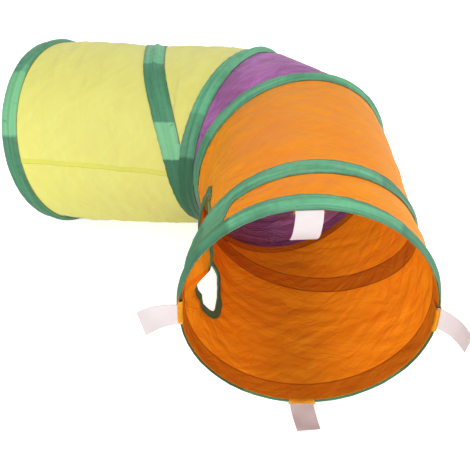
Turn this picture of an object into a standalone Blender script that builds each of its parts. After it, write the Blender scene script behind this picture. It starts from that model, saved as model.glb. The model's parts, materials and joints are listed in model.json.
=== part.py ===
"""Collapsible cat tunnel: an orange front arm, a purple bend and a yellow rear arm of thin cloth,
held open by sprung wire hoops and by one sprung wire turn in each arm, all cased in green tape.

The pinch is the upright line at the inner side of the bend, where the bend's two hoops come closest.
Along a hoop the angle t starts at the inner side of the bend, climbs to the top at 90 degrees,
passes the outer side at 180 degrees and comes back along the floor.
Along an arm m is the distance from its bend hoop, and off is the height above the cloth's inner face.
"""

import math

import bmesh
import bpy
from mathutils import Vector

# Cloth tube, in metres
TUNNEL_RADIUS = 0.125
CLOTH = 0.0008
SEAT = 0.0003
FLOOR_FLAT = 0.0005
STATIONS = 48

# Sprung wire, ferrules and tape casings
WIRE_RADIUS = 0.0010
FERRULE_WALL = 0.0004
FERRULE_LENGTH = 0.012
FERRULE_SIDES = 10
TAPE_WIDTH = 0.025
TAPE = 0.0008
POCKET_SPARE = 0.0009
POCKET_CROWN = 0.62

# Hoops in plan: headings in degrees, lengths along the inner walls from the pinch
FRONT_BEND_HEADING = 19.0
BEND_ANGLE = 38.0
FRONT_INNER_LENGTH = 0.2386
FRONT_INNER_HEADING = -90.0
FRONT_MOUTH_HEADING = 0.0
REAR_INNER_LENGTH = 0.229
REAR_INNER_HEADING = 176.0
REAR_END_HEADING = 71.0
REAR_END_LEAN = -11.5
REAR_HOOP_HEIGHT = 0.97
HOOP_STANDOFF = 0.013

# Sprung turns: where each leaves its first hoop, and its share of the way along the wall
# at every sixth of a turn
FRONT_TURN_START = -9.0
FRONT_TURN_CLIMB = (0.0, 0.19, 0.24, 0.32, 0.54, 0.79, 1.0)
REAR_TURN_START = -44.0
REAR_TURN_CLIMB = (0.0, 0.10, 0.375, 0.60, 0.73, 0.87, 1.0)

# Peephole in the inner wall of the front arm, with its bound edge
PEEPHOLE_FROM_MOUTH = 0.095
PEEPHOLE_LENGTH = 0.090
PEEPHOLE_ARC = 0.164
PEEPHOLE_DROP = 0.005
PEEPHOLE_SQUARENESS = 4.5
PEEPHOLE_STEPS = 36
BINDING_LEG = 0.009
CUTTER_REACH = 0.045

# Fastening tabs round the front mouth
TAB_WIDTH = 0.025
TAB_LENGTH = 0.040
TAB = 0.0010
TAB_ROOT_DEPTH = 0.012
TAB_FOLD = 0.0003
TAB_STEPS = 7

PI = math.pi
SAG = TUNNEL_RADIUS * (1 - math.cos(PI / STATIONS))
TAPE_BASE = CLOTH + SEAT
FERRULE_RADIUS = WIRE_RADIUS + SEAT + FERRULE_WALL
BAND_RADIUS = TUNNEL_RADIUS + TAPE_BASE + TAPE
RIDGE_RADIUS = TUNNEL_RADIUS + TAPE_BASE + 2 * FERRULE_RADIUS + SEAT + TAPE
RIDGE_HALF = FERRULE_RADIUS + POCKET_SPARE + TAPE
UP = Vector((0, 0, 1))


def heading(degrees, length=1.0):
    """A level vector with that heading, counted anticlockwise from +X."""
    a = math.radians(degrees)
    return Vector((length * math.cos(a), length * math.sin(a), 0))


class Hoop:
    """A hoop whose inner side touches an upright line; side is -1 in front of the bend and +1 behind it.

    Height is its height over its width, which is 1 for a round hoop.
    """

    def __init__(self, inner, out_heading, side, lean=0.0, height=1.0):
        level = heading(out_heading + 90 * side)
        a = math.radians(lean)
        self.out = heading(out_heading)
        self.normal = level * math.cos(a) + UP * math.sin(a)
        self.up = (UP * math.cos(a) - level * math.sin(a)) * height
        self.centre = inner + self.out * BAND_RADIUS + UP * (RIDGE_RADIUS * self.up.z - FLOOR_FLAT)

    def radial(self, t):
        return self.up * math.sin(t) - self.out * math.cos(t)

    def tangent(self, t):
        return self.up * math.cos(t) + self.out * math.sin(t)

    def point(self, t, off):
        return self.centre + self.radial(t) * (TUNNEL_RADIUS + off)


class Wall:
    """Cloth stretched straight from one hoop to another, t by t."""

    def __init__(self, near, far):
        self.near = near
        self.far = far

    def run(self, t, off):
        """The straight way along the wall at t, from the near hoop to the far one."""
        return self.far.point(t, off) - self.near.point(t, off)

    def length(self, t, off=0.0):
        return self.run(t, off).length

    def point(self, t, m, off):
        return self.near.point(t, off) + self.run(t, off).normalized() * m


def bend_hoop(out_heading, side, height=1.0):
    return Hoop(heading(out_heading + 90 * side, HOOP_STANDOFF), out_heading, side, height=height)


front_bend = bend_hoop(FRONT_BEND_HEADING, -1)
rear_bend = bend_hoop(FRONT_BEND_HEADING + BEND_ANGLE, 1, REAR_HOOP_HEIGHT)
front_mouth = Hoop(heading(FRONT_INNER_HEADING, FRONT_INNER_LENGTH), FRONT_MOUTH_HEADING, -1)
rear_inner = heading(REAR_INNER_HEADING, REAR_INNER_LENGTH)
rear_end = Hoop(rear_inner, REAR_END_HEADING, 1, REAR_END_LEAN, REAR_HOOP_HEIGHT)
front_wall = Wall(front_bend, front_mouth)
bend_wall = Wall(front_bend, rear_bend)
bend_wall_back = Wall(rear_bend, front_bend)
rear_wall = Wall(rear_bend, rear_end)


def grid_angles(first=0, last=STATIONS - 1):
    return [2 * PI * i / STATIONS for i in range(first, last + 1)]


def clear_scene():
    for o in list(bpy.data.objects):
        bpy.data.objects.remove(o, do_unlink=True)


def finish(name, colour, roughness, metallic=0.0):
    m = bpy.data.materials.new(name)
    m.use_nodes = True
    shader = m.node_tree.nodes["Principled BSDF"]
    shader.inputs["Base Color"].default_value = (*colour, 1)
    shader.inputs["Roughness"].default_value = roughness
    shader.inputs["Metallic"].default_value = metallic
    return m


def pivot(name, point, parent=None):
    """An empty on a joint's axis, which carries the pieces of one moving body."""
    e = bpy.data.objects.new(name, None)
    bpy.context.collection.objects.link(e)
    e.empty_display_size = 0.03
    e["plan"] = list(point)
    e.location = point
    if parent is not None:
        e.parent = parent
        e.location = point - Vector(parent["plan"])
    return e


def attach(o, carrier, material):
    bpy.context.collection.objects.link(o)
    o.parent = carrier
    o.data.materials.append(material)
    return o


def skin(name, sections, closed, carrier, material, smooth=True, floor_cut=False):
    """A solid whose surface joins like loops of points; an open run of loops is capped at both ends."""
    origin = Vector(carrier["plan"])
    bm = bmesh.new()
    loops = [[bm.verts.new(p - origin) for p in s] for s in sections]
    pairs = list(zip(loops, loops[1:]))
    if closed:
        pairs.append((loops[-1], loops[0]))
    for a, b in pairs:
        for i in range(len(a)):
            j = (i + 1) % len(a)
            bm.faces.new((a[i], a[j], b[j], b[i]))
    if not closed:
        bm.faces.new(loops[0])
        bm.faces.new(loops[-1])
    if floor_cut:
        cut_on_floor(bm, -origin.z)
    bmesh.ops.recalc_face_normals(bm, faces=bm.faces[:])
    mesh = bpy.data.meshes.new(name)
    bm.to_mesh(mesh)
    bm.free()
    if smooth:
        mesh.shade_smooth()
        mesh.set_sharp_from_angle(angle=math.radians(30))
    return attach(bpy.data.objects.new(name, mesh), carrier, material)


def cut_on_floor(bm, floor):
    """Takes off what reaches below the floor and closes the cut flat."""
    parts = bm.verts[:] + bm.edges[:] + bm.faces[:]
    cut = bmesh.ops.bisect_plane(bm, geom=parts, plane_co=(0, 0, floor), plane_no=UP, clear_inner=True)
    rim = [g for g in cut["geom_cut"] if isinstance(g, bmesh.types.BMEdge)]
    bmesh.ops.contextual_create(bm, geom=rim)


def hat(place, low, high, seat):
    """A tape's section: two flat legs on the cloth and a pocket between them for what has that radius."""
    floor = TAPE_BASE
    roof = floor + 2 * seat + SEAT
    half = seat + POCKET_SPARE
    crown = half * POCKET_CROWN
    outer = [(low, floor + TAPE), (-half - TAPE, floor + TAPE), (-crown - TAPE / 2, roof + TAPE)]
    outer += [(crown + TAPE / 2, roof + TAPE), (half + TAPE, floor + TAPE), (high, floor + TAPE)]
    inner = [(high, floor), (half, floor), (crown, roof), (-crown, roof), (-half, floor), (low, floor)]
    return [place(q, off) for q, off in outer + inner]


def hoop_tape(name, hoop, ahead, behind, carrier, material):
    """Tape round a hoop: ahead and behind give the wall on each side, or None past a free end."""
    sections = []
    for t in grid_angles():
        ways = {}
        reach = {}
        for side, wall in ((1, ahead), (-1, behind)):
            if wall is None:
                continue
            ways[side] = wall.run(t, TAPE_BASE).normalized()
            reach[side] = min(TAPE_WIDTH / 2, wall.length(t, BAND_RADIUS - TUNNEL_RADIUS) / 2 - SEAT / 2)
        if -1 not in ways:
            ways[-1] = -ways[1]
            reach[-1] = TAPE_WIDTH / 2

        def place(q, off, t=t, ways=ways):
            return hoop.point(t, off) + ways[1 if q > 0 else -1] * abs(q)

        sections.append(hat(place, -reach[-1], reach[1], FERRULE_RADIUS))
    return skin(name, sections, True, carrier, material, floor_cut=True)


def climb(shares, turn):
    """The share of the way at a part of a turn from 0 to 1, on a smooth curve through the given shares."""
    n = len(shares) - 1
    x = min(max(turn * n, 0.0), n)
    i = min(int(x), n - 1)
    f = x - i
    slopes = []
    for k in (i, i + 1):
        before, after = max(k - 1, 0), min(k + 1, n)
        slopes.append((shares[after] - shares[before]) / (after - before))
    a, b = shares[i], shares[i + 1]
    rise = (2 * f**3 - 3 * f**2 + 1) * a + (3 * f**2 - 2 * f**3) * b
    return rise + (f**3 - 2 * f**2 + f) * slopes[0] + (f**3 - f**2) * slopes[1]


class Turn:
    """A helical turn along a wall; from_far means that it starts at the wall's far hoop."""

    def __init__(self, wall, start, shares, from_far):
        self.wall = wall
        self.start = math.radians(start)
        self.shares = shares
        self.from_far = from_far

    def middle(self, t):
        """How far along the wall the turn lies at t."""
        share = climb(self.shares, (t - self.start) / (2 * PI))
        return (1 - share if self.from_far else share) * self.wall.length(t)

    def half_width(self, t):
        """Half the tape's width, measured along the wall, which the turn crosses at a slant."""
        step = PI / STATIONS
        ends = [self.wall.point(a, self.middle(a), 0) for a in (t - step, t + step)]
        way = (ends[1] - ends[0]).normalized()
        slant = way.dot(self.wall.run(t, 0).normalized())
        return TAPE_WIDTH / 2 / math.sqrt(1 - slant**2)

    def stations(self):
        """The grid angles at which the turn's pocket is clear of the tape of both hoops."""
        margin = TAPE_WIDTH / 2 + SEAT + RIDGE_HALF
        first = math.ceil(self.start / (2 * PI) * STATIONS)
        return [
            t
            for t in grid_angles(first, first + STATIONS)
            if margin < self.middle(t) < self.wall.length(t) - margin
        ]


def turn_tape(name, turn, carrier, material):
    sections = []
    for t in turn.stations():
        m = turn.middle(t)
        half = turn.half_width(t)
        edge = TAPE_WIDTH / 2 + SEAT
        low = max(-half, edge - m)
        high = min(half, turn.wall.length(t, BAND_RADIUS - TUNNEL_RADIUS) - edge - m)

        def place(q, off, t=t, m=m):
            return turn.wall.point(t, m + q, off)

        sections.append(hat(place, low, high, WIRE_RADIUS))
    return skin(name, sections, False, carrier, material)


def wire(name, points, closed, carrier, material):
    origin = Vector(carrier["plan"])
    curve = bpy.data.curves.new(name, "CURVE")
    curve.dimensions = "3D"
    curve.bevel_depth = WIRE_RADIUS
    curve.bevel_resolution = 1
    curve.use_fill_caps = True
    spline = curve.splines.new("POLY")
    spline.points.add(len(points) - 1)
    for knot, p in zip(spline.points, points):
        knot.co = (*(p - origin), 1)
    spline.use_cyclic_u = closed
    return attach(bpy.data.objects.new(name, curve), carrier, material)


def hoop_wire(name, hoop, carrier, material):
    points = [hoop.point(t, TAPE_BASE + FERRULE_RADIUS) for t in grid_angles()]
    return wire(name, points, True, carrier, material)


def turn_wire(name, turn, carrier, material):
    off = TAPE_BASE + WIRE_RADIUS
    points = [turn.wall.point(t, turn.middle(t), off) for t in turn.stations()]
    return wire(name, points, False, carrier, material)


def ferrule(name, hoop, carrier, material):
    """A crimped sleeve over the hoop's two wire ends, on the straight stretch next to the inner side."""
    ends = [hoop.point(t, TAPE_BASE + FERRULE_RADIUS) for t in grid_angles(0, 1)]
    middle = (ends[0] + ends[1]) / 2
    along = (ends[1] - ends[0]).normalized()
    side = hoop.normal
    rise = along.cross(side)
    sections = []
    for k in range(FERRULE_SIDES):
        a = 2 * PI * k / FERRULE_SIDES
        ray = side * math.cos(a) + rise * math.sin(a)
        bore = WIRE_RADIUS + SEAT
        corners = ((-1, bore), (-1, FERRULE_RADIUS), (1, FERRULE_RADIUS), (1, bore))
        sections.append([middle + along * e * FERRULE_LENGTH / 2 + ray * r for e, r in corners])
    return skin(name, sections, True, carrier, material)


def panel(name, wall, start, past, steps, carrier, material):
    """Cloth round a wall, from start after its near hoop to past beyond its far one."""
    sections = []
    for t in grid_angles():
        faces = []
        for off in (0, CLOTH):
            end = wall.length(t, off) + past
            faces.append([wall.point(t, start + (end - start) * k / steps, off) for k in range(steps + 1)])
        sections.append(faces[0] + faces[1][::-1])
    return skin(name, sections, True, carrier, material)


def peephole_edge():
    """The peephole's outline as (t, m) pairs, with the way off the hole in the same two terms."""
    middle = front_wall.length(0) - PEEPHOLE_FROM_MOUTH
    for k in range(PEEPHOLE_STEPS):
        a = 2 * PI * k / PEEPHOLE_STEPS
        x, y = math.sin(a), math.cos(a)
        size = abs(x) ** PEEPHOLE_SQUARENESS + abs(y) ** PEEPHOLE_SQUARENESS
        reach = size ** (-1 / PEEPHOLE_SQUARENESS)
        t = (PEEPHOLE_ARC / 2 * reach * x - PEEPHOLE_DROP) / TUNNEL_RADIUS
        m = middle + PEEPHOLE_LENGTH / 2 * reach * y
        slopes = [math.copysign(abs(v) ** (PEEPHOLE_SQUARENESS - 1), v) for v in (x, y)]
        way = Vector((slopes[0] * PEEPHOLE_LENGTH, slopes[1] * PEEPHOLE_ARC)).normalized()
        yield t, m, way


def cut_peephole(o):
    levels = (-CUTTER_REACH, -CLOTH, 2 * CLOTH, CUTTER_REACH)
    rings = [[front_wall.point(t, m, off) for t, m, _ in peephole_edge()] for off in levels]
    cutter = skin("peephole_cutter", rings, False, o.parent, o.data.materials[0], smooth=False)
    cutter.hide_render = True
    cutter.display_type = "WIRE"
    cut = o.modifiers.new("peephole", "BOOLEAN")
    cut.operation = "DIFFERENCE"
    cut.object = cutter


def peephole_binding(name, carrier, material):
    """Tape folded over the peephole's raw edge, with a leg on each face of the cloth and a web between."""
    top = CLOTH + SEAT + SAG
    under = -SEAT - SAG
    web = -SEAT - TAPE
    profile = [(web, top + TAPE), (BINDING_LEG, top + TAPE), (BINDING_LEG, top), (-SEAT, top)]
    profile += [(-SEAT, under), (BINDING_LEG, under), (BINDING_LEG, under - TAPE), (web, under - TAPE)]
    sections = []
    for t, m, way in peephole_edge():
        section = []
        for q, off in profile:
            section.append(front_wall.point(t + way.x * q / TUNNEL_RADIUS, m + way.y * q, off))
        sections.append(section)
    return skin(name, sections, True, carrier, material)


def tab_root(name, t_mid, carrier, material):
    """The sewn end of a tab, flat against the cloth inside the front mouth."""
    half = TAB_WIDTH / 2 / TUNNEL_RADIUS
    face = -SEAT - SAG
    sections = []
    for k in range(5):
        t = t_mid + half * (k / 2 - 1)
        lip = front_wall.length(t) + TAPE_WIDTH / 2
        back = lip - TAB_ROOT_DEPTH
        spots = ((back, face), (lip, face), (lip, face - TAB), (back, face - TAB))
        sections.append([front_wall.point(t, m, off) for m, off in spots])
    return skin(name, sections, False, carrier, material)


def tab_hinge(t_mid):
    """A point on the fold line of the tab at t_mid, just in front of the lip."""
    lip = front_wall.length(t_mid) + TAPE_WIDTH / 2
    return front_wall.point(t_mid, lip + SEAT + TAB / 2, CLOTH / 2)


def tab_flap(name, t_mid, start, end, skew, carrier, material):
    """The free end of a tab, whose way turns from start to end, in degrees from straight out to ahead."""
    out = front_mouth.radial(t_mid)
    ahead = front_mouth.normal
    across = front_mouth.tangent(t_mid)
    step = (TAB_LENGTH - TAB) / TAB_STEPS
    spot = Vector(carrier["plan"])
    sections = []
    for k in range(TAB_STEPS + 1):
        share = k / TAB_STEPS
        turn = math.radians(start + (end - start) * share * share * (3 - 2 * share))
        way = out * math.cos(turn) + ahead * math.sin(turn)
        way = (way + across * math.tan(math.radians(skew))).normalized()
        face = way.cross(across).normalized() * TAB / 2
        edge = (across if k == 0 else face.cross(way).normalized()) * TAB_WIDTH / 2
        spot = spot + way * (step if k else -TAB_FOLD)
        sections.append([spot + edge + face, spot + edge - face, spot - edge - face, spot - edge + face])
    return skin(name, sections, False, carrier, material, smooth=False)


def centre_on_floor(root):
    """Moves the whole tunnel so that its middle in plan is at the origin."""
    bpy.context.view_layer.update()
    corners = []
    for o in bpy.data.objects:
        if o.type == "MESH" and not o.hide_render:
            corners += [o.matrix_world @ v.co for v in o.data.vertices]
    for axis in (0, 1):
        values = [c[axis] for c in corners]
        root.location[axis] = -(min(values) + max(values)) / 2
    bpy.context.view_layer.update()


clear_scene()
orange = finish("orange_cloth", (0.90, 0.30, 0.03), 0.55)
purple = finish("purple_cloth", (0.28, 0.10, 0.30), 0.55)
yellow = finish("yellow_cloth", (0.86, 0.82, 0.25), 0.55)
green = finish("green_tape", (0.07, 0.35, 0.18), 0.7)
white = finish("tab_white", (0.82, 0.77, 0.78), 0.6)
steel = finish("spring_wire", (0.55, 0.56, 0.58), 0.3, 1.0)
brass = finish("ferrule_metal", (0.60, 0.58, 0.52), 0.35, 1.0)

# Bodies: each pivot is on the axis of the joint that carries its pieces
front_turn_pivot = front_bend.point(0, TAPE_BASE + TAPE)
rear_axis = rear_bend.normal.cross(rear_end.normal).normalized()
rear_pivot_t = math.atan2(rear_axis.dot(rear_bend.out), rear_axis.dot(rear_bend.up))
rear_turn_pivot = rear_bend.point(rear_pivot_t, TAPE_BASE + TAPE)
bend = pivot("bend_body", Vector((0, 0, 0)))
rear_fold = pivot("rear_bend_body", Vector((0, 0, 0)), bend)
front_swing = pivot("front_turn_body", front_turn_pivot, bend)
front_slide = pivot("front_mouth_body", front_mouth.centre, front_swing)
rear_swing = pivot("rear_turn_body", rear_turn_pivot, rear_fold)
rear_slide = pivot("rear_end_body", rear_end.centre, rear_swing)

# Hoops, each with its wire, ferrule and tape
hoop_wire("front_mouth_wire", front_mouth, front_slide, steel)
hoop_wire("front_bend_wire", front_bend, bend, steel)
hoop_wire("rear_bend_wire", rear_bend, rear_fold, steel)
hoop_wire("rear_end_wire", rear_end, rear_slide, steel)
ferrule("front_mouth_ferrule", front_mouth, front_slide, brass)
ferrule("front_bend_ferrule", front_bend, bend, brass)
ferrule("rear_bend_ferrule", rear_bend, rear_fold, brass)
ferrule("rear_end_ferrule", rear_end, rear_slide, brass)
hoop_tape("front_mouth_tape", front_mouth, Wall(front_mouth, front_bend), None, front_slide, green)
hoop_tape("front_bend_tape", front_bend, front_wall, bend_wall, bend, green)
hoop_tape("rear_bend_tape", rear_bend, rear_wall, bend_wall_back, rear_fold, green)
hoop_tape("rear_end_tape", rear_end, Wall(rear_end, rear_bend), None, rear_slide, green)

# Sprung turns in their tape
front_turn = Turn(front_wall, FRONT_TURN_START, FRONT_TURN_CLIMB, True)
rear_turn = Turn(rear_wall, REAR_TURN_START, REAR_TURN_CLIMB, False)
turn_wire("front_turn_wire", front_turn, front_swing, steel)
turn_wire("rear_turn_wire", rear_turn, rear_swing, steel)
turn_tape("front_turn_tape", front_turn, front_swing, green)
turn_tape("rear_turn_tape", rear_turn, rear_swing, green)

# Cloth panels and the peephole
orange_panel = panel("orange_panel", front_wall, SEAT / 2, TAPE_WIDTH / 2, 5, front_swing, orange)
cut_peephole(orange_panel)
peephole_binding("peephole_binding", front_swing, green)
panel("purple_panel", bend_wall, SEAT / 2, -SEAT / 2, 3, bend, purple)
panel("yellow_panel", rear_wall, SEAT / 2, TAPE_WIDTH / 2, 5, rear_swing, yellow)

# Tabs: place round the mouth, way at the root, way at the tip and sideways lean, in degrees
TABS = (
    ("left", 0.0, 2.0, 46.0, -6.0),
    ("top", 87.0, 152.0, 198.0, -12.0),
    ("right", 180.0, 32.0, 72.0, 10.0),
    ("bottom", 270.0, 86.0, 110.0, -5.0),
)
for place_name, place_angle, root_way, tip_way, skew in TABS:
    t_mid = math.radians(place_angle)
    hinge = pivot(f"tab_{place_name}_body", tab_hinge(t_mid), front_slide)
    tab_root(f"tab_{place_name}_root", t_mid, front_slide, white)
    tab_flap(f"tab_{place_name}_flap", t_mid, root_way, tip_way, skew, hinge, white)


centre_on_floor(bend)
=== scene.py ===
"""Looks of a bent cat tunnel: crinkled cloth arms, tape casings, a bound peephole and ribbon tabs.

The angle t runs round a hoop: 0 at the inner side of the bend, 90 degrees at the top, 180 at the outer
side. On an arm, m is the way along the cloth from the bend hoop; off is the height above its inner face.
"""

import json
import math

import bmesh
import bpy
import numpy as np
from bpy.props import FloatProperty, FloatVectorProperty, PointerProperty
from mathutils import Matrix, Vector, noise


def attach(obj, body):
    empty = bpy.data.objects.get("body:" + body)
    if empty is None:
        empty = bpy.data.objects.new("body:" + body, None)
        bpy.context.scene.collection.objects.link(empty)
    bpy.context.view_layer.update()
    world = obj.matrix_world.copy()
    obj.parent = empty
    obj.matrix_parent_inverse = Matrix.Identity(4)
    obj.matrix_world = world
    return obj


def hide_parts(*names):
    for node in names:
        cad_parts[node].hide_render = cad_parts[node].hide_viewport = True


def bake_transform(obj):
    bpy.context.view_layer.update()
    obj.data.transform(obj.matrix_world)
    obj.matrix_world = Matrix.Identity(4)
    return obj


bl_info = {
    "name": "Cat Tunnel",
    "version": (1, 0, 0),
    "blender": (4, 5, 0),
    "location": "3D View > Sidebar > Cat Tunnel",
    "description": "Adds the cloth, tape, tabs and stage of a collapsible cat tunnel",
    "category": "Add Mesh",
}

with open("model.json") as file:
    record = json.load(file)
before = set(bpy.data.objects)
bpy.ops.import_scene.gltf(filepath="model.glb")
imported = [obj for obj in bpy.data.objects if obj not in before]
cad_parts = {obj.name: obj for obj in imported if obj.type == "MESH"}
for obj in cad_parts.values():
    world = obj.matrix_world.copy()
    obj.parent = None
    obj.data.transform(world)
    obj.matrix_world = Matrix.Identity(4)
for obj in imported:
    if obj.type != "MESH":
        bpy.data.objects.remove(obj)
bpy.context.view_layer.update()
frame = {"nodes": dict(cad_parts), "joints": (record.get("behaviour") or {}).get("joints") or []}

PI = math.pi
TURN = 2 * PI
MM = 0.001
UP = np.array((0.0, 0.0, 1.0))
WHITE = (1, 1, 1, 1)

# Driving sizes shared with the CAD model
TUNNEL_RADIUS = 0.125
CLOTH = 0.0008
TAPE_BASE = 0.0011
TAPE = 0.0008
TAPE_HALF = 0.0125
FLOOR_LIFT = 0.0042
FRONT_TURN_START = math.radians(-9)
FRONT_TURN_CLIMB = (0.0, 0.19, 0.24, 0.32, 0.54, 0.79, 1.0)
REAR_TURN_START = math.radians(-44)
REAR_TURN_CLIMB = (0.0, 0.10, 0.375, 0.60, 0.73, 0.87, 1.0)
PEEPHOLE_FROM_MOUTH = 0.095
PEEPHOLE_HALF = 0.045
PEEPHOLE_HALF_ARC = 0.0765
PEEPHOLE_DROP = 0.0095
PEEPHOLE_LOWER_SQUARENESS = 4.0
PEEPHOLE_UPPER_SQUARENESS = 2.4
HOOP_POCKET = 0.0037
TURN_POCKET = 0.0023
REAR_SEAM_DRIFT = math.radians(7.5)
REAR_END_LEG = 0.0065
SEAM_WIDTH = 0.007
SEAM_LIFT = 0.0005
SEAM_AWAY = 0.05

# Where the cloth ends: just short of a bend hoop's middle, and past an end hoop's
EDGE_GAP = 0.0002
LIP = 0.0099

# How thick the binding and the patches are, and a tab
THIN_CLOTH = 0.0005
RIBBON = 0.0008

# How the modelling tools sew, slim, shade and turn a piece
SEW_REACH = 2e-5
SLIM = 0.9
SEWN_EDGE = math.radians(35)
SMOOTH_EDGE = math.radians(40)
FACES_OUT = (bpy.ops.mesh.normals_make_consistent, {"inside": False})

# Which random folds each cloth has
FRONT_FOLDS_SEED = 3
BEND_FOLDS_SEED = 7
REAR_FOLDS_SEED = 11

# How far the peephole's slack rims hang in, by angle in degrees, as shares of the droop
NEAR_RIM_SAG = (
    (-40, 0), (-24, 0.05), (-17, 0.24), (-13, 0.17), (-8, 0.17), (-4, 0.4), (0, 0.85), (10, 1), (46, 0)
)
FAR_RIM_SAG = ((-40, 0), (0, 0.12), (20, 0.25), (50, 0))

# How far round from its start the front turn's tape stays gathered up to the mouth's, in degrees
GATHERED = (55.0, 63.0)

# Lighter and darker stretches of each tape, partly tape folded double and partly painted light and shade,
# such as the shade where the arms meet, as angles in degrees and a tone from -1 to 1
TONES = {
    "front_mouth": ((-60, 34, -0.8), (34, 52, -0.6), (75, 105, 0.12), (128, 215, -0.5)),
    "front_bend": ((-60, 30, -0.45), (30, 62, -0.12), (84, 120, -0.2)),
    "rear_bend": ((-70, 14, -1.0), (14, 40, -0.35), (48, 84, 0.05)),
    "rear_end": ((-80, 24, -0.55), (24, 64, 0.8), (70, 120, -0.35)),
    "front_turn": ((-60, 35, -0.55), (35, 62, -0.2), (66, 92, 0.1), (125, 200, -0.45)),
    "rear_turn": ((-60, 12, -0.85), (12, 34, 0.7), (34, 75, -0.55), (75, 130, 0.25)),
}

# Tabs, in degrees: angle round the mouth, way at the root and at the tip from straight out to ahead,
# sideways lean, and twist
TABS = {
    "left": (0.0, -2.0, 34.0, -6.0, 30.0),
    "top": (87.0, 158.0, 226.0, -9.0, 0.0),
    "right": (180.0, 32.0, 72.0, 10.0, 0.0),
    "bottom": (270.0, 87.0, 100.0, -9.0, 0.0),
}

# Rows of a tab's mesh: negative on its sewn root, then as shares of its free length
TAB_ROWS = {"root": np.append(np.linspace(-1, -0.02, 7), 0), "flap": np.linspace(0, 1, 28)}

# Cloth patches on the tabs' roots: how far round the lip each wraps and how far off the root it sits,
# in degrees, and its outer leg
PATCHES = {
    "left": (180.0, 2.0, 0.009),
    "top": (0.0, 0.0, 0.0),
    "right": (180.0, 1.0, 0.006),
    "bottom": (150.0, 0.0, 0.0),
}


def colour_prop(name, description, default):
    return FloatVectorProperty(
        name=name, description=description, default=default, subtype="COLOR", size=3, min=0, max=1
    )


def length_prop(name, description, default):
    return FloatProperty(name=name, description=description, default=default, unit="LENGTH", min=0)


class TunnelSizes(bpy.types.PropertyGroup):
    mesh_step: length_prop("Mesh step", "Distance between the cloth's mesh points", 0.0032)
    pull_in: length_prop("Pull-in", "How far the cloth on the inner side of the bend draws in", 0.0035)
    swell: length_prop("Swell", "How far the rest of the cloth stands out between its tapes", 0.002)
    floor_sag: length_prop("Floor sag", "How far the cloth sags to the floor under a cat's feet", 0.0025)
    fold_height: length_prop("Fold height", "Height of the cloth's soft folds", 0.0011)
    hole_droop: length_prop("Peephole droop", "How far the slack cloth round the peephole hangs in", 0.024)
    binding_leg: length_prop("Binding leg", "Width of the peephole's binding on each face", 0.009)
    seam_width: length_prop("Seam width", "Width of the long seams", SEAM_WIDTH)
    tab_width: length_prop("Tab width", "Width of a fastening tab", 0.025)
    tab_length: length_prop("Tab length", "Free length of a fastening tab", 0.040)
    patch_width: length_prop("Patch width", "Width of the cloth patch round a tab's root", 0.028)


class TunnelColours(bpy.types.PropertyGroup):
    orange: colour_prop("Orange cloth", "Colour of the front arm", (0.98, 0.26, 0.009))
    purple: colour_prop("Purple cloth", "Colour of the bend", (0.36, 0.135, 0.37))
    yellow: colour_prop("Yellow cloth", "Colour of the rear arm", (0.73, 0.71, 0.205))
    green: colour_prop("Green tape", "Colour of the tape casings", (0.098, 0.325, 0.18))
    # The light and dark tape colours stand for tape in a single layer and folded double, and also carry
    # painted light and shade
    green_single_and_lit: colour_prop("Light tape", "Colour of the tape in a single layer", (0.19, 0.50, 0.25))
    green_doubled_and_shaded: colour_prop("Dark tape", "Colour of the tape folded double", (0.02, 0.105, 0.05))
    tab: colour_prop("Tab", "Colour of the fastening tabs", (0.62, 0.55, 0.555))
    wire: colour_prop("Spring wire", "Colour of the sprung wire and its ferrules", (0.56, 0.57, 0.58))


# The hoops and arms, read from the frame


def unit(v):
    return v / np.linalg.norm(v, axis=-1, keepdims=True)


def wire_ring(node):
    """The points of a hoop's wire about its centre, that centre and the hoop's axis."""
    points = np.array([v.co for v in frame["nodes"][node].data.vertices])
    corners = np.unique(points.round(6), axis=0)
    centre = (corners.min(0) + corners.max(0)) / 2
    return corners - centre, centre, np.linalg.svd(corners - corners.mean(0))[2][2]


class Hoop:
    """A hoop whose axis points away from the bend; side is -1 on the front arm and 1 on the rear one."""

    def __init__(self, node, bend_hoop, end_hoop, side):
        ring, self.centre, axis = wire_ring(node)
        away = wire_ring(end_hoop)[1] - wire_ring(bend_hoop)[1]
        self.normal = axis * np.sign(axis @ away)
        self.out = unit(np.cross(self.normal, UP)) * side
        rise = np.cross(self.out, self.normal) * side
        self.up = rise * np.ptp(ring @ rise) / np.ptp(ring @ self.out)

    def radial(self, t):
        return np.sin(t)[..., None] * self.up - np.cos(t)[..., None] * self.out

    def point(self, t, off):
        return self.centre + self.radial(t) * (TUNNEL_RADIUS + off)[..., None]


class Wall:
    """Cloth stretched straight from one hoop to another, t by t."""

    def __init__(self, near, far):
        self.near = near
        self.far = far

    def run(self, t, off):
        return self.far.point(t, off) - self.near.point(t, off)

    def length(self, t):
        return np.linalg.norm(self.run(t, np.zeros_like(t)), axis=-1)

    def point(self, t, m, off):
        t, m, off = np.broadcast_arrays(np.asarray(t, float), m, off)
        return self.near.point(t, off) + unit(self.run(t, off)) * m[..., None]

    def crossing(self, t, spot, normal):
        """How far along the wall it crosses a plane, but at least a millimetre."""
        start = self.near.point(t, np.zeros_like(t))
        way = unit(self.run(t, np.zeros_like(t)))
        return np.maximum(((spot - start) @ normal) / (way @ normal), MM)


def climb(shares, turn):
    """The share of the way at a part of a turn from 0 to 1, on a smooth curve through the given shares."""
    shares = np.array(shares)
    last = len(shares) - 1
    x = np.clip(turn * last, 0, last)
    i = np.minimum(x.astype(int), last - 1)
    f = x - i
    slope = np.gradient(shares)
    rise = (2 * f**3 - 3 * f**2 + 1) * shares[i] + (3 * f**2 - 2 * f**3) * shares[i + 1]
    return rise + (f**3 - 2 * f**2 + f) * slope[i] + (f**3 - f**2) * slope[i + 1]


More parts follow.
